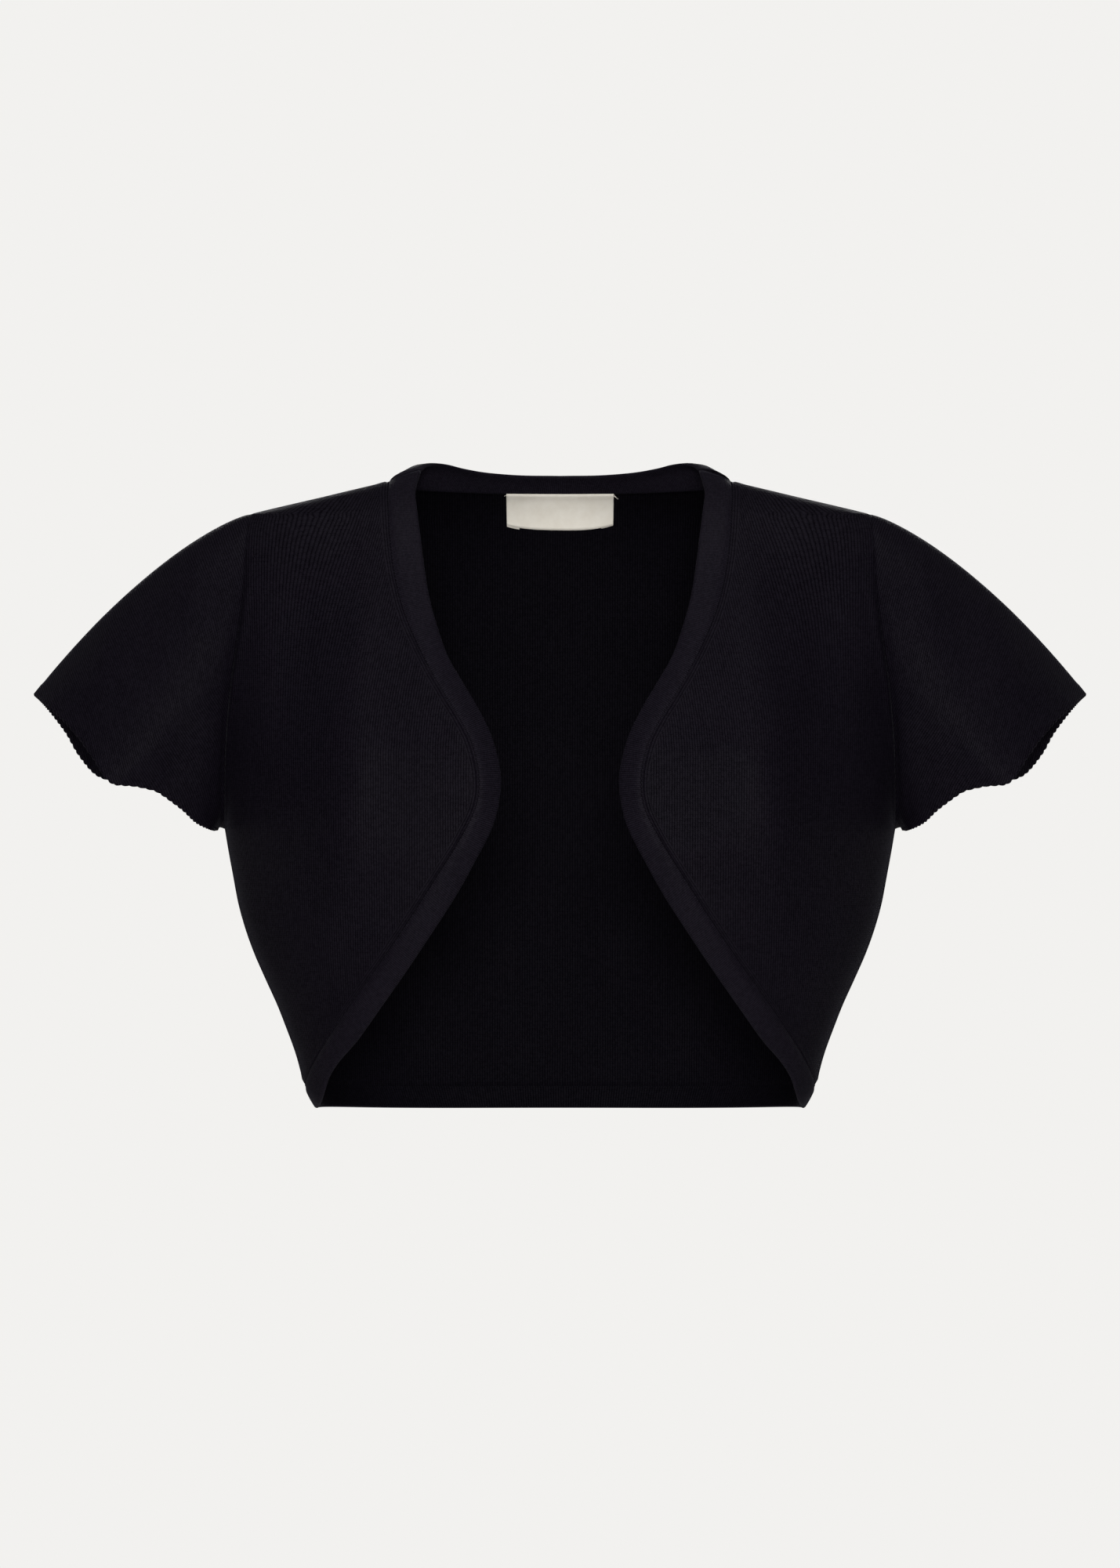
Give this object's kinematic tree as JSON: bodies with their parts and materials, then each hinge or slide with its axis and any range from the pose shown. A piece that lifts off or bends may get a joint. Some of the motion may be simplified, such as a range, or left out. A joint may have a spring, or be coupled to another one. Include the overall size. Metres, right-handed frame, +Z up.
{
  "type": "knitted shrug",
  "caption": "Short-sleeved cropped open-front knitted shrug with curved fronts edged by one doubled band, filled out as when worn, hollow, with a bare woven label inside the back neck.",
  "frame": {"origin": "midway between the wearer's shoulders, at the height and depth where they carry the garment", "axes": "+Z up, the fronts face -Y, +X is the wearer's left"},
  "size_m": [0.6184, 0.2228, 0.3832],
  "materials": {
    "back_knit": "fine gauge rayon-blend knit, matt with a faint sheen",
    "front_left_knit": "fine gauge rayon-blend knit, matt with a faint sheen",
    "front_right_knit": "fine gauge rayon-blend knit, matt with a faint sheen",
    "sleeve_left_knit": "fine gauge rayon-blend knit, matt with a faint sheen",
    "sleeve_right_knit": "fine gauge rayon-blend knit, matt with a faint sheen",
    "front_band_left_knit": "fine gauge rayon-blend knit, matt with a faint sheen",
    "front_band_right_knit": "fine gauge rayon-blend knit, matt with a faint sheen",
    "neck_band_knit": "fine gauge rayon-blend knit, matt with a faint sheen",
    "hem_band_knit": "fine gauge rayon-blend knit, matt with a faint sheen",
    "label_tape": "woven cream tape, smooth"
  },
  "bodies": {
    "root": {"back": "back_knit", "front_left": "front_left_knit", "front_right": "front_right_knit", "sleeve_left": "sleeve_left_knit", "sleeve_right": "sleeve_right_knit", "front_band_left": "front_band_left_knit", "front_band_right": "front_band_right_knit", "neck_band": "neck_band_knit", "hem_band": "hem_band_knit", "label": "label_tape"}
  },
  "joints": []
}
